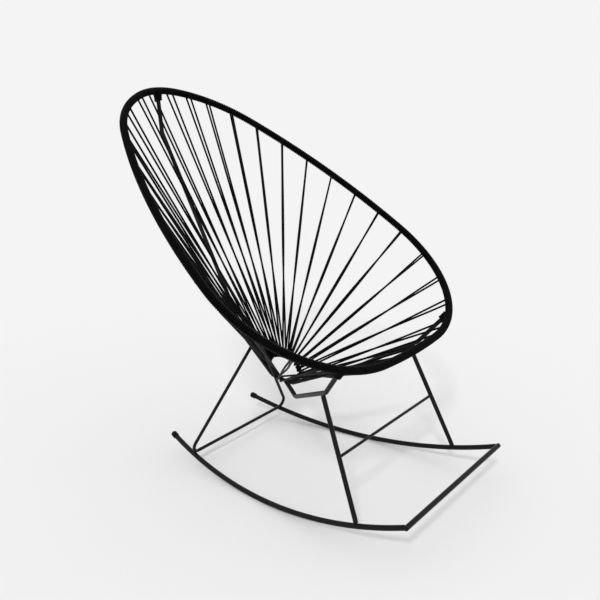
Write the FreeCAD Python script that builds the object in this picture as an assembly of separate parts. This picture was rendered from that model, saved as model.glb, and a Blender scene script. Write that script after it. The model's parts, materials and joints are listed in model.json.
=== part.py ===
"""Rocking chair with an egg-shaped rim, a fan of cord hairpins and a bent-bar frame on two rockers.

Millimetres. The sitter faces -Y, their left hand is at +X, and +Z is up.
The chair stands on the plane z = 0, with the middle of its footprint at the origin.
"""
import FreeCAD, Part
import math
import os

Vec = FreeCAD.Vector

# Stock: diameters of the round steel bar and of the vinyl cord
rim_bar_d = 9.0
ring_bar_d = 9.0
strut_d = 11.0
leg_d = 11.0
rocker_d = 12.5
front_bar_d = 12.0
rear_frame_d = 8.5
stretcher_d = 7.0
cord_d = 4.2

# Passes after which a length that depends on its own direction has settled
settling_passes = 4

# Clearances: cord round a bar, bar butted against a bar, cap over a bar
cord_gap = 0.25
weld_gap = 0.1
cap_gap = 0.15

# Rim: a flat egg of tangent arcs, listed from the front of the seat to the narrow top
rim_tilt = 34.7
rim_front_y = -289.0
rim_front_z = 384.7
front_radius = 1592.0
front_angle = 4.2
corner_radius = 290.0
corner_angle = 92.7
side_radius = 1322.0
side_angle = 22.4
shoulder_radius = 307.0
shoulder_angle = 40.1

# Ring at the bottom of the basket, parallel to the rim
ring_radius = 46.0
ring_y = 82.0
ring_z = 255.5

# Cords: hairpins on each side besides the one in the front middle, those behind the side strut,
# the spread of a hairpin's two ends along the rim, and the angle of the rim's bar that each end goes round
hairpins_per_side = 16
hairpins_behind_strut = 14
hairpin_spread = 5.2
tail_angle = 75.0

# Hairpins by side: the room from the strut to the one behind it, a pitch for those next to that one,
# a pitch for the numbered ones counted from the top, and the places over which the topmost draw together
left_strut_room = 49.5
left_front_pitch = 92.8
left_pitch = 84.2
left_pitched = 11
left_drawn_places = 2.05
right_strut_room = 22.5
right_front_pitch = 86.5
right_pitch = 86.5
right_pitched = 14
right_drawn_places = 0.8

# On the ring each side's pitched hairpins keep one step, and each strut needs a free angle
left_ring_step = 7.3
right_ring_step = 8.77
back_free_angle = 18.5
side_free_angle = 26.0

# Side struts: their places on the rim, from the front, and on the ring, from its rear
strut_from_front = 245.0
strut_ring_angle = 136.3

# Winding of cord on the rim between the hairpins, in zones from the front to the top,
# with the points on each turn where its gap to the next turn is measured
least_turn_gap = 0.5
wrap_zones = ("front", "side", "back")
points_per_turn = 24
small_phase = 0.001

# Back strut: its two bends, seen from the side
back_upper_bend_y = 494.0
back_upper_bend_z = 828.0
back_lower_bend_y = 265.0
back_lower_bend_z = 402.0

# Left side strut: its two bends, and the radius of every strut's bends
side_inner_bend_x = 80.0
side_inner_bend_y = -16.0
side_inner_bend_z = 227.6
side_outer_bend_x = 201.8
side_outer_bend_y = -191.7
side_outer_bend_z = 327.9
strut_bend_radius = 28.0

# Lashing of cord over the joint of each strut and the rim
lashing_half_width = 14.5
lashing_depth = 9.0
lashing_length = 26.0
lashing_wall = 3.8
lashing_gap = 0.5

# Rockers: arcs in planes that lean in at the top and toe in towards the rear
rocker_radius = 1050.0
rocker_half_spacing = 210.0
rocker_low_y = 15.4
rocker_lean = 19.0
rocker_toe = 5.9
rocker_front_y = -416.0
rocker_rear_y = 335.0
front_bar_edge_radius = 2.0
cap_length = 16.0
cap_wall = 1.5
cap_cover = 2.5
cap_edge_radius = 4.5

# Front legs and the stretcher between them
leg_foot_y = -295.0
leg_top_from_bend = 23.5
stretcher_height = 188.0

# Rear frame: one bar bent into a foot across the rockers and two legs that meet on the back strut
rear_foot_y = 238.5
rear_bend_radius = 19.0
rear_overhang = 6.5
rear_joint_rise = 39.0


def unit(v):
    """Return v scaled to length one."""
    return v * (1.0 / v.Length)


def across(v, axis):
    """Return the part of v that is square to the unit vector axis, at length one."""
    return unit(v - axis * v.dot(axis))


def arc_from(start, heading, end):
    """Return the arc that leaves start along heading and reaches end."""
    chord = end - start
    side = chord - heading * chord.dot(heading)
    radius = chord.dot(chord) / (2.0 * side.Length)
    half = math.atan2(side.Length, chord.dot(heading))
    middle = start + (heading * math.sin(half) + unit(side) * (1.0 - math.cos(half))) * radius
    return Part.Arc(start, middle, end).toShape()


def biarc(start, heading, end, end_heading):
    """Return two tangent arcs that join two points with given headings."""
    span = end - start
    total = heading + end_heading
    slack = 2.0 * (1.0 - heading.dot(end_heading))
    reach = (math.sqrt(span.dot(total) ** 2 + slack * span.dot(span)) - span.dot(total)) / slack
    middle = (start + end + (heading - end_heading) * reach) * 0.5
    first = arc_from(start, heading, middle)
    second = arc_from(end, end_heading * -1.0, middle)
    return [first, second]


def tube(edges, start, heading, diameter):
    """Sweep a round section along tangent edges and return the solid."""
    section = Part.Wire([Part.Circle(start, heading, diameter / 2.0).toShape()])
    swept = Part.Wire(edges).makePipeShell([section], True, False)
    return Part.Solid(swept) if swept.ShapeType == "Shell" else swept.Solids[0]


def bent_path(points, bend_radius):
    """List the edges of a line of straight runs whose corners are bent to one radius."""
    edges = []
    here = points[0]
    for before, corner, after in zip(points, points[1:], points[2:]):
        into = unit(corner - before)
        out = unit(after - corner)
        set_back = bend_radius * math.tan(into.getAngle(out) / 2.0)
        bend_start = corner - into * set_back
        bend_end = corner + out * set_back
        edges.append(Part.LineSegment(here, bend_start).toShape())
        edges.append(arc_from(bend_start, into, bend_end))
        here = bend_end
    edges.append(Part.LineSegment(here, points[-1]).toShape())
    return edges


def bent_bar(points, diameter, bend_radius):
    """Make a bar of straight runs whose corners are bent to one radius."""
    return tube(bent_path(points, bend_radius), points[0], unit(points[1] - points[0]), diameter)


def straight_bar(start, end, diameter):
    """Make a straight bar between the middles of its two end faces."""
    return Part.makeCylinder(diameter / 2.0, (end - start).Length, start, unit(end - start))


def butt(axis_point, towards, bar_axis, bar_d, own_d, gap):
    """Return where a bar's flat end clears the side of another bar whose axis it points at."""
    direction = unit(towards - axis_point)
    sine = abs(direction.dot(bar_axis))
    cosine = math.sqrt(1.0 - sine * sine)
    return axis_point + direction * ((bar_d / 2.0 + gap + own_d / 2.0 * sine) / cosine)


def mirrored(point):
    """Return the point on the other side of the chair."""
    return Vec(-point.x, point.y, point.z)


# The rim's plane: the way up the slope, and the way out of the sitter's side of it
tilt = math.radians(rim_tilt)
up_slope = Vec(0, math.cos(tilt), math.sin(tilt))
out_of_plane = Vec(0, -math.sin(tilt), math.cos(tilt))
rim_front = Vec(0, rim_front_y, rim_front_z)
ring_centre = Vec(0, ring_y, ring_z)

# The radius at which cord lies round the rim's bar
lay_radius = (rim_bar_d + cord_d) / 2.0 + cord_gap


def egg_arcs():
    """List the left half's arcs from front to top as (centre, radius, first heading, turn).

    The last arc's radius follows from the others, so that the egg closes on the middle plane.
    """
    arcs = []
    x, s, heading = 0.0, 0.0, 0.0
    shape = ((front_radius, front_angle), (corner_radius, corner_angle),
             (side_radius, side_angle), (shoulder_radius, shoulder_angle))
    for radius, degrees in shape:
        turn = math.radians(degrees)
        centre = (x - radius * math.sin(heading), s + radius * math.cos(heading))
        arcs.append((centre, radius, heading, turn))
        heading += turn
        x = centre[0] + radius * math.sin(heading)
        s = centre[1] - radius * math.cos(heading)
    top_radius = x / math.sin(heading)
    centre = (0.0, s + top_radius * math.cos(heading))
    arcs.append((centre, top_radius, heading, math.pi - heading))
    return arcs


half_egg = egg_arcs()
half_length = sum(radius * turn for _, radius, _, turn in half_egg)


def rim_frame(distance):
    """Return the point, tangent and outward normal of the rim at a distance from the front.

    A positive distance runs up the left side to the top, and a negative one up the right side.
    """
    side = 1.0 if distance >= 0 else -1.0
    left = min(abs(distance), 2.0 * half_length - abs(distance))
    side = side if abs(distance) <= half_length else -side
    for centre, radius, heading, turn in half_egg[:-1]:
        if left <= radius * turn:
            break
        left -= radius * turn
    else:
        centre, radius, heading, turn = half_egg[-1]
    angle = heading + left / radius
    x = centre[0] + radius * math.sin(angle)
    s = centre[1] - radius * math.cos(angle)
    point = rim_front + up_slope * s + Vec(side * x, 0, 0)
    outward = up_slope * -math.cos(angle) + Vec(side * math.sin(angle), 0, 0)
    tangent = Vec(math.cos(angle), 0, 0) + up_slope * (side * math.sin(angle))
    return point, tangent, outward


def ring_point(angle):
    """Return the point of the ring's middle line at an angle from its rearmost point."""
    return ring_centre + (Vec(math.sin(angle), 0, 0) + up_slope * math.cos(angle)) * ring_radius


def ring_tangent(angle):
    """Return the ring's own direction at an angle from its rearmost point."""
    return Vec(math.cos(angle), 0, 0) - up_slope * math.sin(angle)


def rim_hoop():
    """One closed bar bent to the egg."""
    stations = [0.0]
    for _, radius, _, turn in half_egg:
        stations.append(stations[-1] + radius * turn)
    edges = []
    for side in (1.0, -1.0):
        for first, last in zip(stations, stations[1:]):
            marks = [rim_frame(side * d)[0] for d in (first, (first + last) / 2.0, last)]
            edges.append(Part.Arc(*marks).toShape())
    path = Part.Wire(Part.__sortEdges__(edges))
    start, heading, _ = rim_frame(0.0)
    section = Part.Wire([Part.Circle(start, heading, rim_bar_d / 2.0).toShape()])
    return path.makePipeShell([section], True, False).Solids[0]


def centre_ring():
    """A closed ring of round bar."""
    return Part.makeTorus(ring_radius, ring_bar_d / 2.0, ring_centre, out_of_plane)


def ring_angle(side, number):
    """Return a hairpin's angle on the ring from its rear; numbers count from the top to the front middle."""
    step = math.radians(left_ring_step if side > 0 else right_ring_step)
    pitched = left_pitched if side > 0 else right_pitched
    first = math.radians(back_free_angle / 2.0)
    strut = math.radians(strut_ring_angle)
    free = math.radians(side_free_angle / 2.0)
    if number < pitched:
        return side * (first + number * step)
    if number < hairpins_behind_strut:
        last = first + (pitched - 1) * step
        share = (number - pitched + 1) / (hairpins_behind_strut - pitched)
        return side * (last + (strut - free - last) * share)
    share = (number - hairpins_behind_strut) / (hairpins_per_side - hairpins_behind_strut)
    return side * (strut + free + (math.pi - strut - free) * share)


def hairpin_distance(side, number):
    """Return a hairpin's distance along the rim from the front, negative on the right side.

    Hairpins are placed from the side strut: those in front of it share the way to the front middle evenly,
    and those behind it follow their pitches up to the top, where the last few draw together to fit.
    """
    room = left_strut_room if side > 0 else right_strut_room
    front_pitch = left_front_pitch if side > 0 else right_front_pitch
    pitch = left_pitch if side > 0 else right_pitch
    pitched = left_pitched if side > 0 else right_pitched
    drawn_places = left_drawn_places if side > 0 else right_drawn_places
    behind = strut_from_front + room
    last = hairpins_behind_strut - 1
    if number >= last:
        return side * behind * (hairpins_per_side - number) / (hairpins_per_side - last)
    last_pitched = behind + front_pitch * (last - pitched + 1)
    if number >= pitched:
        return side * (behind + front_pitch * (last - number))
    drawn_up = pitch * (pitched - 0.5) - (half_length - last_pitched)
    place = number + 0.5
    from_top = pitch * place - drawn_up * (1.0 - math.exp(-(place / drawn_places) ** 2))
    return side * (half_length - from_top)


class Strand:
    """One run of cord: part of a turn round the rim's bar, then straight to its tangent point on the ring."""

    def __init__(self, distance, ring_angle, upper):
        self.distance = distance
        self.rim_point, self.rim_tangent, _ = rim_frame(distance)
        middle = ring_point(ring_angle)
        sign = 1.0 if upper else -1.0
        self.heading = unit(middle - self.rim_point)
        for _ in range(settling_passes):
            slant = across(self.heading, out_of_plane).dot(ring_tangent(ring_angle))
            clear_radius = (ring_bar_d + cord_d) / 2.0 + cord_gap
            self.loop_radius = clear_radius / math.sqrt(1.0 - slant * slant)
            self.normal = across(out_of_plane * sign, self.heading)
            self.end = middle + self.normal * self.loop_radius
            square = unit(self.heading.cross(self.rim_tangent))
            self.rim_normal = square * math.copysign(1.0, square.dot(self.normal))
            self.start = self.rim_point + self.rim_normal * lay_radius
            self.heading = unit(self.end - self.start)
        slant = self.heading.dot(self.rim_tangent)
        self.lean = slant / math.sqrt(1.0 - slant * slant)

    def tail(self):
        """Return the first point and heading of the turn round the rim's bar, and its two arcs."""
        turn = math.radians(tail_angle)
        inward = across(self.heading, self.rim_tangent)
        radial = self.rim_normal * math.cos(turn) - inward * math.sin(turn)
        around = self.rim_normal * math.sin(turn) + inward * math.cos(turn)
        first = self.rim_point + radial * lay_radius - self.rim_tangent * (self.lean * lay_radius * turn)
        heading = unit(around + self.rim_tangent * self.lean)
        return first, heading, biarc(first, heading, self.start, self.heading)

    def span_on_rim(self):
        """Return the stretch of the rim, as two distances, that this strand keeps free of winding."""
        half = cord_d / 2.0 * math.sqrt(1.0 + self.lean ** 2) + cord_gap
        outside = -self.lean * lay_radius * math.radians(tail_angle)
        inside = self.lean * math.sqrt(2.0 * lay_radius * cord_d + cord_d ** 2)
        return self.distance + min(outside, inside) - half, self.distance + max(outside, inside) + half


def hairpin_strands(side, number):
    """Return the upper and lower strands of one hairpin and the middle of its loop on the ring.

    The cord is wound one way along the whole rim, so a hairpin's upper end always comes first on that way.
    """
    angle = ring_angle(side, number)
    distance = hairpin_distance(side, number)
    upper = Strand(distance - hairpin_spread / 2.0, angle, True)
    lower = Strand(distance + hairpin_spread / 2.0, angle, False)
    return upper, lower, ring_point(angle)


def cord_hairpin(side, number):
    """One length of cord: over the rim, down to the ring, round the ring's bar and back under the rim."""
    upper, lower, middle = hairpin_strands(side, number)
    inward = unit(upper.heading + lower.heading)
    turn_point = middle + inward * max(upper.loop_radius, lower.loop_radius)
    turn_heading = across(lower.normal - upper.normal, inward)
    first, first_heading, edges = upper.tail()
    edges.append(Part.LineSegment(upper.start, upper.end).toShape())
    edges += biarc(upper.end, upper.heading, turn_point, turn_heading)
    edges += biarc(turn_point, turn_heading, lower.end, lower.heading * -1.0)
    edges.append(Part.LineSegment(lower.end, lower.start).toShape())
    edges += lower.tail()[2][::-1]
    return tube(edges, first, first_heading, cord_d)


turn_gaps = []


def winding(first, last):
    """Wind one cord round the rim's bar between two distances along the rim, if a turn has room."""
    turns = int((last - first - cord_d) / (cord_d + least_turn_gap))
    if turns < 1:
        return []
    pitch = (last - first - cord_d) / turns

    def place(phase):
        point, _, outward = rim_frame(first + cord_d / 2.0 + pitch * phase)
        angle = 2.0 * math.pi * phase
        return point + (outward * math.cos(angle) + out_of_plane * math.sin(angle)) * lay_radius

    def heading(phase):
        return unit(place(phase + small_phase) - place(phase - small_phase))

    marks = [half / 2.0 for half in range(2 * turns + 1)]
    edges = []
    for a, b in zip(marks, marks[1:]):
        edges += biarc(place(a), heading(a), place(b), heading(b))
    points = [place(k / points_per_turn) for k in range(points_per_turn * turns + 1)]
    apart = min((a - b).Length for a, b in zip(points, points[points_per_turn:]))
    turn_gaps.append(apart - cord_d)
    return [tube(edges, place(0.0), heading(0.0), cord_d)]


def side_windings(side):
    """List what is wound in each bay between hairpins or lashings on one side, from the front to the top."""
    keep = lashing_half_width + cord_gap
    taken = [(side * place - keep, side * place + keep) for place in (strut_from_front, half_length)]
    for number in range(hairpins_per_side + 1):
        upper, lower, _ = hairpin_strands(side, number)
        ends = upper.span_on_rim() + lower.span_on_rim()
        taken.append((min(ends), max(ends)))
    taken.sort()
    bays = [winding(before[1], after[0]) for before, after in zip(taken, taken[1:])]
    return bays if side > 0 else bays[::-1]


def strut_joints(rim_distance, ring_angle):
    """Return a strut's axis points on the rim and the ring, with the bars' own directions there."""
    rim_point, rim_tangent, _ = rim_frame(rim_distance)
    return rim_point, rim_tangent, ring_point(ring_angle), ring_tangent(ring_angle)


def back_strut_points():
    """List the back strut's ends and bends from the rim down to the ring."""
    rim_point, rim_tangent, low, along_ring = strut_joints(half_length, 0.0)
    upper_bend = Vec(0, back_upper_bend_y, back_upper_bend_z)
    lower_bend = Vec(0, back_lower_bend_y, back_lower_bend_z)
    top = butt(rim_point, upper_bend, rim_tangent, rim_bar_d, strut_d, weld_gap)
    bottom = butt(low, lower_bend, along_ring, ring_bar_d, strut_d, weld_gap)
    return [top, upper_bend, lower_bend, bottom]


def side_strut_points():
    """List the left strut's ends and bends from the rim down to the ring."""
    on_ring = math.radians(strut_ring_angle)
    rim_point, rim_tangent, low, along_ring = strut_joints(strut_from_front, on_ring)
    outer_bend = Vec(side_outer_bend_x, side_outer_bend_y, side_outer_bend_z)
    inner_bend = Vec(side_inner_bend_x, side_inner_bend_y, side_inner_bend_z)
    top = butt(rim_point, outer_bend, rim_tangent, rim_bar_d, strut_d, weld_gap)
    bottom = butt(low, inner_bend, along_ring, ring_bar_d, strut_d, weld_gap)
    return [top, outer_bend, inner_bend, bottom]


def lashing(strut_points, rim_distance):
    """A sleeve of cord that spreads from the strut to the rim's bar, hollow for both."""
    rim_point, rim_tangent, _ = rim_frame(rim_distance)
    down = unit(strut_points[1] - strut_points[0])
    turn = FreeCAD.Rotation(across(rim_tangent, down), Vec(0, 0, 0), down, "ZXY")
    wide = Part.Ellipse(Vec(0, 0, 0), lashing_half_width, lashing_depth).toShape()
    round_end = Part.Circle(Vec(0, 0, lashing_length), Vec(0, 0, 1), strut_d / 2.0 + lashing_wall).toShape()
    body = Part.makeLoft([Part.Wire([wide]), Part.Wire([round_end])], True, True)
    body.Placement = FreeCAD.Placement(rim_point, turn)
    bore = Part.makeCylinder(strut_d / 2.0 + cord_gap, 2.0 * lashing_length, rim_point, down)
    ends = [rim_frame(rim_distance + shift)[0] for shift in (-lashing_half_width, lashing_half_width)]
    reach = 2.0 * unit(ends[1] - ends[0])
    rim_bore = straight_bar(ends[0] - reach, ends[1] + reach, rim_bar_d + 2.0 * lashing_gap)
    return body.cut(bore).cut(rim_bore).Solids[0]


lean = math.radians(rocker_lean)
toe = math.radians(rocker_toe)
rocker_along = Vec(-math.sin(toe), math.cos(toe), 0)
rocker_up = across(Vec(-math.sin(lean), 0, math.cos(lean)), rocker_along)
rocker_low = Vec(rocker_half_spacing, rocker_low_y, rocker_d / 2.0)


def rocker_place(angle):
    """Return the left rocker's middle line and its heading at an angle behind its lowest point."""
    along = rocker_along * math.sin(angle)
    rise = rocker_up * (1.0 - math.cos(angle))
    heading = rocker_along * math.cos(angle) + rocker_up * math.sin(angle)
    return rocker_low + (along + rise) * rocker_radius, heading


def rocker_angle(y):
    """Return the angle at which the left rocker passes a given y."""
    reach = math.hypot(rocker_along.y, rocker_up.y)
    offset = math.atan2(rocker_up.y, rocker_along.y)
    return offset + math.asin(((y - rocker_low_y) / rocker_radius - rocker_up.y) / reach)


def rocker_line():
    """Return the left rocker's middle line, an arc from the front bar to the rear end."""
    corner, heading = rocker_place(rocker_angle(rocker_front_y))
    start = butt(corner, corner + heading, Vec(1, 0, 0), front_bar_d, rocker_d, weld_gap)
    first = rocker_angle(start.y)
    last = rocker_angle(rocker_rear_y)
    marks = [rocker_place(angle)[0] for angle in (first, (first + last) / 2.0, last)]
    return Part.Arc(*marks).toShape()


def rocker():
    """The left rocker: one bar bent to an arc."""
    line = rocker_line()
    return tube([line], line.valueAt(line.FirstParameter), line.tangentAt(line.FirstParameter), rocker_d)


def rocker_cap():
    """A rounded cap pushed over the rear end of the left rocker."""
    end, heading = rocker_place(rocker_angle(rocker_rear_y))
    outer_radius = rocker_d / 2.0 + cap_gap + cap_wall
    base = end - heading * (cap_length - cap_cover)
    body = Part.makeCylinder(outer_radius, cap_length, base, heading)
    rim_edges = [e for e in body.Edges if e.Curve.TypeId == "Part::GeomCircle"]
    far_edge = max(rim_edges, key=lambda e: (e.Curve.Center - base).dot(heading))
    body = body.makeFillet(cap_edge_radius, [far_edge])
    bore_depth = cap_length - cap_cover + cap_gap
    bore = Part.makeCylinder(rocker_d / 2.0 + cap_gap, bore_depth, base, heading)
    return body.cut(bore).Solids[0]


def front_bar():
    """A straight bar across the front ends of the rockers."""
    middle, _ = rocker_place(rocker_angle(rocker_front_y))
    half = Vec(middle.x + rocker_d / 2.0, 0, 0)
    centre = Vec(0, middle.y, middle.z)
    bar = straight_bar(centre - half, centre + half, front_bar_d)
    ends = [e for e in bar.Edges if e.Curve.TypeId == "Part::GeomCircle"]
    return bar.makeFillet(front_bar_edge_radius, ends)


def leg_axis():
    """Return the left leg's axis points on the rocker and on the side strut, with those bars' directions."""
    foot, along_rocker = rocker_place(rocker_angle(leg_foot_y))
    _, outer_bend, inner_bend, _ = side_strut_points()
    along_strut = unit(inner_bend - outer_bend)
    return foot, along_rocker, outer_bend + along_strut * leg_top_from_bend, along_strut


def front_leg():
    """The left front leg, from the top of the rocker to the underside of the side strut."""
    foot, along_rocker, top, along_strut = leg_axis()
    start = butt(foot, top, along_rocker, rocker_d, leg_d, weld_gap)
    end = butt(top, foot, along_strut, strut_d, leg_d, weld_gap)
    return straight_bar(start, end, leg_d)


def leg_stretcher():
    """A thin bar between the two front legs."""
    foot, _, top, _ = leg_axis()
    share = (stretcher_height - foot.z) / (top.z - foot.z)
    joint = foot + (top - foot) * share
    end = butt(joint, mirrored(joint), unit(top - foot), leg_d, stretcher_d, weld_gap)
    return straight_bar(mirrored(end), end, stretcher_d)


def rear_frame_points(foot_z):
    """List the rear frame's ends and corners, for a foot whose middle line is at a given height."""
    on_rocker, _ = rocker_place(rocker_angle(rear_foot_y))
    _, _, lower_bend, bottom = back_strut_points()
    along = unit(lower_bend - bottom)
    joint = bottom + along * (rear_joint_rise / along.z)
    corner = Vec(on_rocker.x, rear_foot_y, foot_z)
    for _ in range(settling_passes):
        turn = Vec(1, 0, 0).getAngle(joint - corner)
        bend_start = on_rocker.x + rear_overhang - rear_bend_radius
        corner.x = bend_start + rear_bend_radius * math.tan(turn / 2.0)
    top = butt(joint, corner, along, strut_d, rear_frame_d, weld_gap)
    return [top, corner, mirrored(corner), mirrored(top)]


def rear_frame():
    """One bar bent into a foot that rests on the rockers and two legs welded to the back strut.

    The foot is raised or lowered until its bends just clear the rockers.
    """
    on_rocker, _ = rocker_place(rocker_angle(rear_foot_y))
    clear = (rocker_d + rear_frame_d) / 2.0 + weld_gap
    foot_z = on_rocker.z + clear
    for _ in range(settling_passes):
        path = Part.Wire(bent_path(rear_frame_points(foot_z), rear_bend_radius))
        foot_z += clear - path.distToShape(rocker_line())[0]
    return bent_bar(rear_frame_points(foot_z), rear_frame_d, rear_bend_radius)


nodes = {}
both_sides = {}

nodes["rim_hoop"] = rim_hoop()
nodes["centre_ring"] = centre_ring()
nodes["back_strut"] = bent_bar(back_strut_points(), strut_d, strut_bend_radius)
both_sides["side_strut"] = bent_bar(side_strut_points(), strut_d, strut_bend_radius)
nodes["strut_lashing_back"] = lashing(back_strut_points(), half_length)
both_sides["strut_lashing"] = lashing(side_strut_points(), strut_from_front)
both_sides["rocker"] = rocker()
both_sides["rocker_cap"] = rocker_cap()
nodes["front_bar"] = front_bar()
both_sides["front_leg"] = front_leg()
nodes["leg_stretcher"] = leg_stretcher()
nodes["rear_frame"] = rear_frame()
nodes["cord_front_middle"] = cord_hairpin(1.0, hairpins_per_side)
for side, word in ((1.0, "left"), (-1.0, "right")):
    for number in range(hairpins_per_side):
        nodes["cord_%02d_%s" % (number + 1, word)] = cord_hairpin(side, number)
    bays = side_windings(side)
    zone_bays = math.ceil(len(bays) / len(wrap_zones))
    for index, zone in enumerate(wrap_zones):
        in_zone = bays[index * zone_bays:(index + 1) * zone_bays]
        nodes["rim_wrap_" + zone + "_" + word] = Part.makeCompound([coil for bay in in_zone for coil in bay])

for name, shape in both_sides.items():
    nodes[name + "_left"] = shape
    nodes[name + "_right"] = shape.mirror(Vec(0, 0, 0), Vec(1, 0, 0))

# The footprint runs from the front bar to the wound top of the rim
rear_reach = rim_frame(half_length)[0].y + lay_radius + cord_d / 2.0
front_reach = rocker_front_y - front_bar_d / 2.0
to_origin = Vec(0, -(rear_reach + front_reach) / 2.0, 0)

os.makedirs("parts", exist_ok=True)
for name, shape in nodes.items():
    shape.translate(to_origin)
    shape.exportStep("parts/" + name + ".step")
print("nodes", len(nodes), "valid", all(shape.isValid() for shape in nodes.values()))
print("least gap between turns of a winding: %.2f mm" % min(turn_gaps))
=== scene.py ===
# %% [markdown]
# # A rocking chair strung with cord
#
# The chair is a bent steel frame with one cord strung over it. The steel comes from the frame as it is,
# because bars are exact there. The cord is what the eye stays on, so it is made here again, turn by turn:
# the winding on the rim, the hairpins that form the seat, and the lashings where the struts meet the rim.

# %% Load the frame
import json
import math

import bpy
import numpy as np
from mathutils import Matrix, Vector


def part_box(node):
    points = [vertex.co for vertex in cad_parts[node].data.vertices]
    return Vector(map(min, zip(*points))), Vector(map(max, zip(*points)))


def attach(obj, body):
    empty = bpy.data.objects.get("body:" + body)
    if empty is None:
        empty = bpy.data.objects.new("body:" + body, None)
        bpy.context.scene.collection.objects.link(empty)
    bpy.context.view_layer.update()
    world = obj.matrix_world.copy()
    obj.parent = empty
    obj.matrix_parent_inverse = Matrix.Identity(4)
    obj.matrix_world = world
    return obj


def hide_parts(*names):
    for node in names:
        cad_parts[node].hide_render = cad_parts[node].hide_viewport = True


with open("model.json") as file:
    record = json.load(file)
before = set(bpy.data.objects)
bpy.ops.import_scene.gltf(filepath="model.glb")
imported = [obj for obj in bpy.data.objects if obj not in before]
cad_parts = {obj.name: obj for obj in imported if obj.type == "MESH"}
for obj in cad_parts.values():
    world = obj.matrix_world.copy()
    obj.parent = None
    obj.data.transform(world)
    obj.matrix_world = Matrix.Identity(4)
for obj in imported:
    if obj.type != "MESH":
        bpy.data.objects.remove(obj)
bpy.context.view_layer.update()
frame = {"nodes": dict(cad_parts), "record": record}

# %% [markdown]
# ## Shader maths as Python
#
# A finish is a small sum: a base roughness, plus some noise, plus some wear. Written as boxes and wires that
# sum is hard to read, so a `Term` wraps one socket and turns `+` and `*` into Math nodes. `Finish.node` makes
# any other node: its settings go in first, and then the values or links of its sockets. A Mix node has
# several sockets of the same name, so its colour sockets go by number.

# %% Terms and finishes
mix_share, mix_first, mix_second, mix_colour = 0, 6, 7, 2


class Term:
    """One shader value that takes part in arithmetic; each operation adds a Math node."""

    def __init__(self, finish, socket):
        self.finish = finish
        self.socket = socket

    def join(self, operation, left, right):
        return self.finish.node("ShaderNodeMath", {"operation": operation}, {0: left, 1: right})

    def __add__(self, other):
        return self.join("ADD", self, other)

    def __radd__(self, other):
        return self.join("ADD", other, self)

    def __mul__(self, other):
        return self.join("MULTIPLY", self, other)

    def __rmul__(self, other):
        return self.join("MULTIPLY", other, self)


class Finish:
    """One material: a Principled shader whose sockets take numbers, colours or terms."""

    def __init__(self, name):
        self.material = bpy.data.materials.new(name)
        self.material.use_nodes = True
        self.tree = self.material.node_tree
        self.shader = self.tree.nodes["Principled BSDF"]

    def feed(self, node, sockets):
        """Give each named or numbered socket of a node its value or its link."""
        for key, value in sockets.items():
            if isinstance(value, Term):
                self.tree.links.new(value.socket, node.inputs[key])
            else:
                node.inputs[key].default_value = value

    def node(self, kind, settings, sockets, output=0):
        """Add a node, set it up, feed it, and return one of its outputs as a term."""
        node = self.tree.nodes.new(kind)
        for key, value in settings.items():
            setattr(node, key, value)
        self.feed(node, sockets)
        return Term(self, node.outputs[output])

    def noise(self, place, scale, detail):
        """Cloudy values from 0 to 1 whose features are about 1 / scale across."""
        sockets = {"Vector": place, "Scale": scale, "Detail": detail}
        return self.node("ShaderNodeTexNoise", {}, sockets, "Fac")

    def band(self, value, start, end):
        """A value that climbs from 0 at start to 1 at end, smoothly, and stays there."""
        settings = {"interpolation_type": "SMOOTHSTEP"}
        sockets = {"Value": value, "From Min": start, "From Max": end}
        return self.node("ShaderNodeMapRange", settings, sockets)

    def mix(self, share, first, second):
        """A colour between two colours."""
        sockets = {mix_share: share, mix_first: first, mix_second: second}
        return self.node("ShaderNodeMix", {"data_type": "RGBA"}, sockets, mix_colour)

    def bump(self, height, depth, strength):
        """A normal that follows a height map of a given depth in metres."""
        sockets = {"Height": height, "Distance": depth, "Strength": strength}
        return self.node("ShaderNodeBump", {}, sockets)


def grey(level):
    """An opaque neutral colour."""
    return (level, level, level, 1.0)


# %% [markdown]
# ## Black powder coat
#
# Powder coat is a baked skin of paint. It is satin, never quite flat: close up it has the fine dimples that
# painters call orange peel, and its gloss drifts slowly along a bar. The rockers roll on the floor, so the
# skin is rubbed grey along their undersides. Noise on Object coordinates gives all three, with no unwrapping.

# %% Powder coat
coat_black = grey(0.0020)
coat_dust = grey(0.008)
coat_rubbed = grey(0.050)
coat_specular = 0.16
coat_roughness = 0.30
drift_roughness = 0.16
dust_roughness = 0.14
rubbed_roughness = 0.18
peel_noise = {"scale": 1100.0, "detail": 2.0}
peel_bump = {"depth": 0.00025, "strength": 0.22}
drift_noise = {"scale": 11.0, "detail": 3.0}
dust_noise = {"scale": 190.0, "detail": 5.0}
dust_band = {"start": 0.56, "end": 0.80}
dust_share = 0.45
ground_band = {"start": 0.0035, "end": 0.0}
rubbed_band = {"start": 0.30, "end": 0.75}


def powder_coat():
    """Satin black paint with orange peel, a little dust and rubbed undersides.

    Dust is a fine noise above a threshold. A place is rubbed near the floor, where dust plus drift is high.
    The roughness is a base plus shares of the drift, the dust and the rubbing.
    """
    finish = Finish("powder_coat_black")
    place = finish.node("ShaderNodeTexCoord", {}, {}, "Object")
    peel = finish.noise(place, **peel_noise)
    drift = finish.noise(place, **drift_noise)
    dust = finish.band(finish.noise(place, **dust_noise), **dust_band)
    height = finish.node("ShaderNodeSeparateXYZ", {}, {"Vector": place}, "Z")
    rubbed = finish.band(height, **ground_band) * finish.band(dust + drift, **rubbed_band)
    colour = finish.mix(dust * dust_share, coat_black, coat_dust)
    roughness = coat_roughness + drift * drift_roughness + dust * dust_roughness
    finish.feed(finish.shader, {
        "Base Color": finish.mix(rubbed, colour, coat_rubbed),
        "Roughness": roughness + rubbed * rubbed_roughness,
        "Normal": finish.bump(peel, **peel_bump),
        "Specular IOR Level": coat_specular,
    })
    return finish.material


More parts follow.
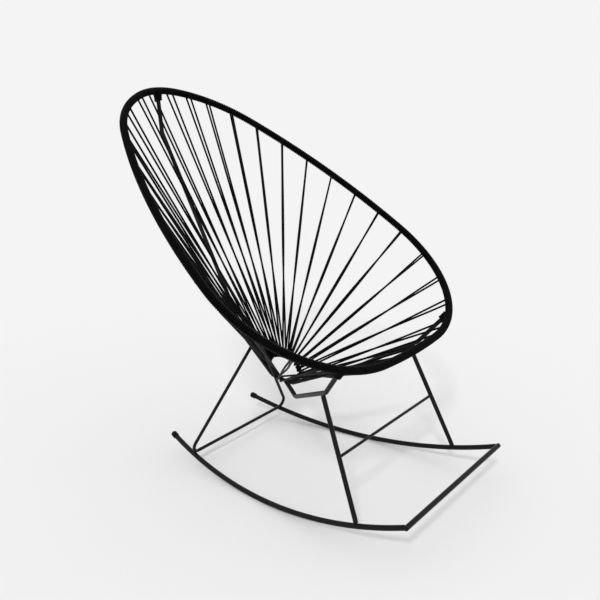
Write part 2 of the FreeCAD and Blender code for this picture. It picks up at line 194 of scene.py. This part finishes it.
coat = powder_coat()
print("powder coat:", len(coat.node_tree.nodes), "nodes")

# %% [markdown]
# ## Vinyl cord
#
# The cord is drawn through a die, which leaves faint lines along its length and a soft, slightly waxy gloss.
# The lines have to follow each cord round every turn, so Object coordinates won't do. Each cord's mesh
# carries its own map instead, an attribute called `lay`: two numbers round the cord, and its length in
# metres. Being round, that map has no seam.

# %% Vinyl cord finish
cord_black = grey(0.0010)
cord_bloom = grey(0.005)
cord_specular = 0.04
cord_roughness = 0.36
line_roughness = 0.16
bloom_roughness = 0.14
line_stretch = (2600.0, 2600.0, 9.0)
line_noise = {"scale": 1.0, "detail": 3.0}
line_bump = {"depth": 0.0002, "strength": 0.30}
bloom_noise = {"scale": 34.0, "detail": 4.0}
bloom_band = {"start": 0.48, "end": 0.78}
bloom_share = 0.35
bloom_line_share = 0.65


def vinyl_cord():
    """Black vinyl with drawn lines along the cord and a thin pale bloom in places.

    The lines are a noise on the lay map, stretched so that it changes fast round the cord and slowly along
    it. The bloom is a slow noise above a threshold, and shows more on the lines.
    """
    finish = Finish("vinyl_cord_black")
    lay = finish.node("ShaderNodeAttribute", {"attribute_name": "lay"}, {}, "Vector")
    drawn = finish.node("ShaderNodeVectorMath", {"operation": "MULTIPLY"}, {0: lay, 1: line_stretch})
    lines = finish.noise(drawn, **line_noise)
    place = finish.node("ShaderNodeTexCoord", {}, {}, "Object")
    bloom = finish.band(finish.noise(place, **bloom_noise), **bloom_band)
    pale = bloom * (bloom_share + lines * bloom_line_share)
    finish.feed(finish.shader, {
        "Base Color": finish.mix(pale, cord_black, cord_bloom),
        "Roughness": cord_roughness + lines * line_roughness + bloom * bloom_roughness,
        "Normal": finish.bump(lines, **line_bump),
        "Specular IOR Level": cord_specular,
    })
    return finish.material


vinyl = vinyl_cord()
print("vinyl cord:", len(vinyl.node_tree.nodes), "nodes")

# %% [markdown]
# ## Rubber caps
#
# The rear ends of the rockers wear moulded caps. Rubber is duller than paint, with a grain from its mould,
# and it greys a little with dust.

# %% Rubber finish
rubber_black = grey(0.0025)
rubber_dust = grey(0.009)
rubber_specular = 0.10
rubber_roughness = 0.58
grain_roughness = 0.12
smudge_roughness = 0.12
grain_noise = {"scale": 2400.0, "detail": 2.0}
grain_bump = {"depth": 0.0002, "strength": 0.35}
smudge_noise = {"scale": 120.0, "detail": 3.0}
smudge_band = {"start": 0.45, "end": 0.75}


def cap_rubber():
    """Dull moulded rubber: a fine noise as grain, and a slower one above a threshold as dusty smudges."""
    finish = Finish("cap_rubber_black")
    place = finish.node("ShaderNodeTexCoord", {}, {}, "Object")
    grain = finish.noise(place, **grain_noise)
    smudge = finish.band(finish.noise(place, **smudge_noise), **smudge_band)
    finish.feed(finish.shader, {
        "Base Color": finish.mix(smudge, rubber_black, rubber_dust),
        "Roughness": rubber_roughness + grain * grain_roughness + smudge * smudge_roughness,
        "Normal": finish.bump(grain, **grain_bump),
        "Specular IOR Level": rubber_specular,
    })
    return finish.material


rubber = cap_rubber()
print("rubber:", len(rubber.node_tree.nodes), "nodes")

# %% [markdown]
# ## The line of the rim
#
# The rim is a flat egg made of five arcs a side, each tangent to the next, tilted up towards the back. All
# the cord work hangs on this line, so it is written as a function of one number: the distance along the rim
# from the middle of its front, positive up the sitter's left side. It takes a whole array of distances at
# once.

# %% Rim line
rim_tilt = math.radians(34.7)
rim_front_height = 0.3847
rim_front_from_ring = -0.371
arc_radius = [1.592, 0.290, 1.322, 0.307]
arc_turn = [math.radians(degrees) for degrees in (4.2, 92.7, 22.4, 40.1)]

ring_low, ring_high = (np.array(corner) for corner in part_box("centre_ring"))
ring_centre = (ring_low + ring_high) / 2.0
across_chair = np.array([1.0, 0.0, 0.0])
up_slope = np.array([0.0, math.cos(rim_tilt), math.sin(rim_tilt)])
off_slope = np.array([0.0, -math.sin(rim_tilt), math.cos(rim_tilt)])
rim_front = np.array([0.0, ring_centre[1] + rim_front_from_ring, rim_front_height])


def egg_arcs():
    """Each arc's centre, radius, first heading and length; the last one closes the egg on the middle plane.

    An arc of radius r that starts at heading h has its centre at r to the left of the heading, and ends
    at heading h plus its turn.
    """
    x, s, heading = 0.0, 0.0, 0.0
    rows = []
    for radius, turn in zip(arc_radius, arc_turn):
        centre = (x - radius * math.sin(heading), s + radius * math.cos(heading))
        rows.append((*centre, radius, heading, radius * turn))
        heading += turn
        x = centre[0] + radius * math.sin(heading)
        s = centre[1] - radius * math.cos(heading)
    radius = x / math.sin(heading)
    rows.append((0.0, s + radius * math.cos(heading), radius, heading, radius * (math.pi - heading)))
    return np.array(rows)


egg = egg_arcs()
egg_stations = np.concatenate([[0.0], np.cumsum(egg[:, -1])])
half_rim = egg_stations[-1]


def rim_line(distance):
    """Points, directions along and directions outward of the rim at distances from its front.

    The arc that holds a distance is looked up; the angle in it is its first heading plus the rest of the
    distance over its radius; the point is the centre plus the radius at that angle, mirrored on the right.
    """
    wrapped = (np.asarray(distance, float) + half_rim) % (2.0 * half_rim) - half_rim
    side = np.where(wrapped < 0.0, -1.0, 1.0)[..., None]
    along = np.abs(wrapped)
    arc = np.clip(np.searchsorted(egg_stations, along, side="right") - 1, 0, len(egg) - 1)
    x0, s0, radius, heading, _ = np.moveaxis(egg[arc], -1, 0)
    angle = heading + (along - egg_stations[arc]) / radius
    x = (x0 + radius * np.sin(angle))[..., None]
    s = (s0 - radius * np.cos(angle))[..., None]
    sine, cosine = np.sin(angle)[..., None], np.cos(angle)[..., None]
    point = rim_front + side * x * across_chair + s * up_slope
    forward = cosine * across_chair + side * sine * up_slope
    outward = side * sine * across_chair - cosine * up_slope
    return point, forward, outward


print("rim: %.3f m round" % (2.0 * half_rim))

# %% [markdown]
# ## Cord as a swept circle
#
# Every cord here is a circle carried along a path. Blender's curve bevel could do it, but a sweep in numpy
# gives the `lay` map at the same time, and lets each path say which way is up, so that tight turns never
# twist.

# %% Vectors, meshes and objects
def unit(vectors):
    """Vectors scaled to length one, along the last axis."""
    return vectors / np.linalg.norm(vectors, axis=-1, keepdims=True)


def square_to(vectors, axis):
    """The part of each vector square to a unit axis, at length one."""
    return unit(vectors - np.sum(vectors * axis, axis=-1, keepdims=True) * axis)


def ring_faces(rings, around):
    """Quads between rings of points: a point, the next one round, and the same two on the next ring."""
    row = np.arange(rings - 1)[:, None] * around
    here = np.arange(around)[None, :]
    after = (here + 1) % around
    quads = np.stack([row + here, row + after, row + around + after, row + around + here], axis=-1)
    return quads.reshape(-1, 4)


def smooth_mesh(name, points, faces):
    """A smooth mesh of an array of points and a list of faces."""
    mesh = bpy.data.meshes.new(name)
    mesh.from_pydata(points.reshape(-1, 3).tolist(), [], faces)
    mesh.shade_smooth()
    return mesh


def put_in_scene(name, data):
    """A new object that holds a mesh, a light or a camera."""
    thing = bpy.data.objects.new(name, data)
    bpy.context.scene.collection.objects.link(thing)
    return thing


# %% Sweep
def sweep(name, path, hint, radius, around):
    """Carry a circle along an open path and close both ends; return the mesh and the path's length.

    A point of the surface is the path's point plus the radius times (cos a times the side plus sin a times
    the other side), where the side is the hint made square to the path, and a runs round the circle.
    """
    heading = unit(np.gradient(path, axis=0))
    side = square_to(np.broadcast_to(hint, path.shape), heading)
    other = np.cross(heading, side)
    angle = math.tau * np.arange(around) / around
    ring = np.cos(angle)[None, :, None] * side[:, None] + np.sin(angle)[None, :, None] * other[:, None]
    count = len(path) * around
    caps = [list(range(around))[::-1], list(range(count - around, count))]
    mesh = smooth_mesh(name, path[:, None] + radius * ring, ring_faces(len(path), around).tolist() + caps)
    length = np.concatenate([[0.0], np.cumsum(np.linalg.norm(np.diff(path, axis=0), axis=1))])
    lay = np.empty((len(path), around, 3), np.float32)
    lay[..., 0] = radius * np.cos(angle)
    lay[..., 1] = radius * np.sin(angle)
    lay[..., 2] = length[:, None]
    mesh.attributes.new("lay", "FLOAT_VECTOR", "POINT").data.foreach_set("vector", lay.ravel())
    return mesh, length[-1]


def add_piece(mesh, material, slot, *replaced):
    """Put a mesh into the chair as one piece with its finish and the nodes that it stands for."""
    piece = put_in_scene(mesh.name, mesh)
    mesh.materials.append(material)
    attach(piece, "root")
    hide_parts(*replaced)


# %% [markdown]
# ## The winding on the rim
#
# The rim's bar is wound with cord from end to end, turn beside turn, which is why it looks so much thicker
# than the other bars. The winding is a helix round a line that itself bends: the angle grows in step with
# the distance along the rim, and each point stands off the rim's line by the bar's radius plus the cord's.
# The number of turns is whole, so the helix meets itself. It is cut into six lengths, as the frame has it.

# %% Rim winding
cord_radius = 0.0025
rim_bar_radius = 0.0045
turn_room = 0.00008
steps_per_turn = 14
cord_sides_wound = 8
wind_radius = rim_bar_radius + cord_radius + turn_room
wind_turns = round(2.0 * half_rim / (2.0 * cord_radius + turn_room))
wind_pitch = 2.0 * half_rim / wind_turns
zone_names = ("front", "side", "back")
zone_ends = {"left": (0.0, 0.4801, 0.9939, half_rim), "right": (0.0, 0.4405, 0.9595, half_rim)}


def wound_path(first, last):
    """The helix between two distances, and its way out from the rim's line at each point.

    A point is the rim's point plus the standoff at an angle that makes one turn a pitch.
    """
    steps = round((last - first) / wind_pitch * steps_per_turn)
    distance = np.linspace(first, last, steps + 1)
    point, _, outward = rim_line(distance)
    angle = (math.tau * distance / wind_pitch)[:, None]
    radial = np.cos(angle) * outward + np.sin(angle) * off_slope
    return point + wind_radius * radial, radial


wound_length = 0.0
for side_name, ends in zone_ends.items():
    sign = 1.0 if side_name == "left" else -1.0
    for zone, start, end in zip(zone_names, ends, ends[1:]):
        zone_name = "%s_%s" % (zone, side_name)
        path, radial = wound_path(min(sign * start, sign * end), max(sign * start, sign * end))
        mesh, length = sweep("rim_winding_" + zone_name, path, radial, cord_radius, cord_sides_wound)
        add_piece(mesh, vinyl, "cord_black", "rim_wrap_" + zone_name)
        wound_length += length
print("winding: %d turns, %.1f m of cord" % (wind_turns, wound_length))

# %% [markdown]
# ## The hairpins of the seat
#
# From the winding the cord drops to the small ring, goes round its bar and comes back: a hairpin.
# Thirty-three of them make the basket. The cord is pulled tight, so each strand is nearly straight. One comes
# over the rim, goes under the ring and round it, and returns under the rim, so the two strands cross half way
# and look like one line from most sides. The places along the rim and round the ring are the frame's.

# %% Hairpin places
hairpins_per_side = 16
hairpins_behind_strut = 14
strut_from_front = 0.245
strut_ring_angle = 136.3
strut_free_angle = 26.0
back_free_angle = 18.5
stringing = {
    "left": {"sign": 1.0, "room": 0.0495, "front_pitch": 0.0928, "pitch": 0.0842,
             "pitched": 11, "places": 2.05, "step": 7.3},
    "right": {"sign": -1.0, "room": 0.0225, "front_pitch": 0.0865, "pitch": 0.0865,
              "pitched": 14, "places": 0.8, "step": 8.77},
}
hairpin_number = np.arange(hairpins_per_side + 1)
hairpin_place = hairpin_number + 0.5


def hairpin_places(sign, room, front_pitch, pitch, pitched, places, step):
    """Distances along the rim and angles on the ring of one side's hairpins and the front middle's.

    They are counted from the top. The last one behind the side strut keeps some room from it. Those in front
    of it share the way to the front's middle evenly, and the next ones behind step back by the front pitch.
    The rest, the pitched ones, lie at the pitch times their place, less what they are drawn up: nothing at
    the top, and past the given places just enough to meet the others. On the ring they step round evenly in
    three stretches: the pitched ones, those up to the strut's free angle, and those in front of it.
    """
    last = hairpins_behind_strut - 1
    behind = strut_from_front + room
    drawn = pitch * (pitched - 0.5) - (half_rim - (behind + front_pitch * (last - pitched + 1)))
    from_top = pitch * hairpin_place - drawn * (1.0 - np.exp(-((hairpin_place / places) ** 2)))
    sharing = behind * (hairpins_per_side - hairpin_number) / (hairpins_per_side - last)
    stepped = behind + front_pitch * (last - hairpin_number)
    kinds = [hairpin_number >= last, hairpin_number >= pitched]
    distance = sign * np.select(kinds, [sharing, stepped], half_rim - from_top)
    first_angle = back_free_angle / 2.0
    angle_behind = strut_ring_angle - strut_free_angle / 2.0
    angle_before = strut_ring_angle + strut_free_angle / 2.0
    marks = [0, pitched - 1, last, hairpins_behind_strut, hairpins_per_side]
    angles = [first_angle, first_angle + (pitched - 1) * step, angle_behind, angle_before, 180.0]
    return distance, sign * np.radians(np.interp(hairpin_number, marks, angles))


for side_name, rule in stringing.items():
    distance, angle = hairpin_places(**rule)
    print(side_name, "hairpins from the front, m:", np.round(np.abs(distance[::-1]), 3))

# %% Hairpin paths
ring_radius = 0.046
ring_bar_radius = 0.0045
strand_steps = 16
loop_steps = 15
tail_steps = 8
tail_turn = math.radians(75.0)
tail_sink = 0.0030


def rim_tail(distance, target, over):
    """The end of a strand that peels off the winding: an arc of the rim's section that sinks under it.

    In the section of the rim the target lies at a polar angle b and a distance d. A tangent from it touches
    the circle of radius r at b minus or plus the angle whose cosine is r over d: over the rim, or under it.
    The arc leans along the rim as the strand does, so the two join without a kink.
    """
    point, forward, outward = rim_line(distance)
    reach = target - point
    flat = np.array([reach @ outward, reach @ off_slope])
    bearing = math.atan2(flat[1], flat[0]) % math.tau
    opening = math.acos(wind_radius / np.hypot(*flat))
    lean = (reach @ forward) / np.hypot(*flat)
    turn = np.linspace(1.0, 0.0, tail_steps)[:, None]
    angle = bearing - opening - turn * tail_turn if over else bearing + opening + turn * tail_turn
    radius = wind_radius - tail_sink * turn
    back = lean * wind_radius * tail_turn * turn
    return point + radius * (np.cos(angle) * outward + np.sin(angle) * off_slope) - back * forward


def hairpin_path(distance, angle, spread):
    """One hairpin: tail, strand, half an ellipse round the ring's bar, strand, tail; and the ring's way.

    The ellipse stands off the bar by the two radii, and is longer along the strands the more they slant
    across the bar. The strand that comes over the rim goes under the ring, so the two cross half way, where
    they push each other aside by the square of a sine along their length.
    """
    ring_point = ring_centre + ring_radius * (math.sin(angle) * across_chair + math.cos(angle) * up_slope)
    ring_way = math.cos(angle) * across_chair - math.sin(angle) * up_slope
    clear = ring_bar_radius + cord_radius + turn_room
    inward = unit(ring_point - rim_line(distance)[0])
    normal = square_to(off_slope, inward)
    slant = inward @ ring_way
    turn = np.linspace(-0.5 * math.pi, 0.5 * math.pi, loop_steps)[:, None]
    stretched = np.cos(turn) * inward / math.sqrt(1.0 - slant * slant)
    loop = ring_point + clear * (np.sin(turn) * normal + stretched)
    tail_down = rim_tail(distance - spread / 2.0, loop[0], True)
    tail_up = rim_tail(distance + spread / 2.0, loop[-1], False)[::-1]
    share = np.linspace(0.0, 1.0, strand_steps)[1:-1, None]
    aside = square_to(rim_line(distance)[1], inward)
    push = (cord_radius - spread / 4.0) * np.sin(math.pi * share) ** 2
    down = tail_down[-1] + share * (loop[0] - tail_down[-1]) - push * aside
    up = loop[-1] + share * (tail_up[0] - loop[-1]) + push * aside
    return np.concatenate([tail_down, down, loop, up, tail_up]), ring_way


# %% String the hairpins
cord_sides_strung = 10
spread_at_top = {"left": 0.0065, "right": 0.0020}
spread_below = -0.0005
spread_places = 2.2
spread_fade = np.exp(-((hairpin_place / spread_places) ** 2))

strung_length = 0.0
for side_name, rule in stringing.items():
    spreads = spread_below + (spread_at_top[side_name] - spread_below) * spread_fade
    for index, (distance, angle) in enumerate(zip(*hairpin_places(**rule))):
        in_middle = index == hairpins_per_side
        if in_middle and side_name == "right":
            continue
        place_name = "front_middle" if in_middle else "%02d_%s" % (index + 1, side_name)
        path, ring_way = hairpin_path(distance, angle, spreads[index])
        mesh, length = sweep("strung_cord_" + place_name, path, ring_way, cord_radius, cord_sides_strung)
        add_piece(mesh, vinyl, "cord_black", "cord_" + place_name)
        strung_length += length
print("hairpins: %.1f m of cord" % strung_length)

# %% [markdown]
# ## The lashings
#
# Where a strut meets the rim the cord is lashed over the joint in turns that spread towards the rim, so the
# joint ends in a dark flare. Each lashing is a helix round the strut whose turns are ellipses: as wide as the
# flare at the rim, and as round as the strut at the other end.

# %% Lashings
strut_radius = 0.0055
back_upper_bend = ring_centre + np.array([0.0, 0.412, 0.5725])
side_outer_bend = ring_centre + np.array([0.2018, -0.2737, 0.0724])
mirror = np.array([-1.0, 1.0, 1.0])
lashed = {
    "back": (half_rim, back_upper_bend),
    "left": (strut_from_front, side_outer_bend),
    "right": (-strut_from_front, side_outer_bend * mirror),
}
lashing_half_width = 0.0145
lashing_half_depth = 0.009
lashing_length = 0.026
lashing_start = 0.0045
lashing_edge = 0.0075
lashing_drop = 0.0065
lashing_steps_per_turn = 32


def lashing_path(distance, bend):
    """A helix down the strut from its joint with the rim, and its way out from the strut at each point.

    Its turns are ellipses. Past the rim's edge their half width and half depth go from the flare's to the
    strut's by one minus an exponential of the distance.
    """
    point, forward, _ = rim_line(distance)
    down = unit(bend - point)
    wide = square_to(forward, down)
    deep = np.cross(down, wide)
    turns = (lashing_length - lashing_start) / wind_pitch
    share = np.linspace(0.0, 1.0, round(turns * lashing_steps_per_turn) + 1)[:, None]
    along = lashing_start + share * (lashing_length - lashing_start)
    fall = 1.0 - np.exp(-np.maximum(along - lashing_edge, 0.0) / lashing_drop)
    least = strut_radius + cord_radius + turn_room
    half_width = lashing_half_width - cord_radius
    half_depth = lashing_half_depth - cord_radius + turn_room
    angle = math.tau * turns * share
    radial = (half_width + (least - half_width) * fall) * np.cos(angle) * wide
    radial = radial + np.maximum(half_depth + (least - half_depth) * fall, least) * np.sin(angle) * deep
    return point + along * down + radial, radial


for place_name, (distance, bend) in lashed.items():
    path, radial = lashing_path(distance, bend)
    mesh, length = sweep("lashing_" + place_name, path, radial, cord_radius, cord_sides_strung)
    add_piece(mesh, vinyl, "cord_black", "strut_lashing_" + place_name)
    print("lashing %s: %.2f m of cord" % (place_name, length))

# %% [markdown]
# ## Finish the bars
#
# The bars and the caps keep the frame's own shapes. Each gets the finish that its material slot in the record
# names, put in place of the plain colour that it came with.

# %% Bars and caps
finish_of_slot = {"steel_black": coat, "cap_black": rubber}
for part in frame["record"]["subparts"]:
    node = frame["nodes"][part["node"]]
    if not node.hide_render:
        node.data.materials.clear()
        node.data.materials.append(finish_of_slot[part["material_slot"]])
        print("finish on", part["node"])

# %% [markdown]
# ## Studio
#
# The chair stands on a wide pale floor under an even white sky. The floor's grey and the two lights are
# balanced so that the floor is as bright as the sky, and the horizon can't be seen from any side. The floor
# is a disc: a radius turned about the vertical axis. A key light from the front left adds the faint shadows
# and the gleam on the bars: a sun, because its light doesn't fall off along the floor, with the width of a
# soft box a few metres away. A white product picture wants its white to stay white, so it is developed with
# the Standard view, which leaves tones as they are.

# %% Floor
floor_radius = 60.0
floor_steps = 96
floor_rings = 12
floor_grey = grey(0.80)
floor_roughness = 0.9
floor_specular = 0.1


def studio_floor():
    """A flat disc: each radius, growing by the square of its step, turned all round at height zero."""
    radius = floor_radius * (np.arange(1, floor_rings + 1) / floor_rings) ** 2
    angle = math.tau * np.arange(floor_steps) / floor_steps
    x = radius[:, None] * np.cos(angle)
    y = radius[:, None] * np.sin(angle)
    points = np.stack([x, y, np.zeros_like(x)], axis=-1)
    middle = list(range(floor_steps))
    upward_quads = ring_faces(floor_rings, floor_steps)[:, ::-1]
    return smooth_mesh("studio_floor", points, upward_quads.tolist() + [middle])


paper = Finish("studio_paper")
paper.feed(paper.shader, {
    "Base Color": floor_grey,
    "Roughness": floor_roughness,
    "Specular IOR Level": floor_specular,
})
floor = put_in_scene("studio_floor", studio_floor())
floor.data.materials.append(paper.material)
print("floor: %.0f m across" % (2.0 * floor_radius))

# %% Light and camera
sky_white = grey(1.0)
sky_strength = 0.905
key_strength = 1.03
key_width = math.radians(7.0)
key_from = Vector((-0.66, -0.30, 0.69))
camera_place = (-1.4939, -1.1504, 1.0266)
camera_tilt = math.radians(72.81)
camera_heading = math.radians(-52.74)
camera_lens = 47.7
sensor_width = 36.0

world = bpy.data.worlds.new("studio_sky")
world.use_nodes = True
world.node_tree.nodes["Background"].inputs["Color"].default_value = sky_white
world.node_tree.nodes["Background"].inputs["Strength"].default_value = sky_strength
bpy.context.scene.world = world
bpy.context.scene.view_settings.view_transform = "Standard"

key = bpy.data.lights.new("key_light", "SUN")
key.energy = key_strength
key.angle = key_width
key_object = put_in_scene("key_light", key)
key_object.rotation_euler = key_from.to_track_quat("Z", "Y").to_euler()

camera = bpy.data.cameras.new("camera")
camera.lens = camera_lens
camera.sensor_width = sensor_width
camera_object = put_in_scene("camera", camera)
camera_object.location = camera_place
camera_object.rotation_euler = (camera_tilt, 0.0, camera_heading)
bpy.context.scene.camera = camera_object
print("camera at", camera_place)
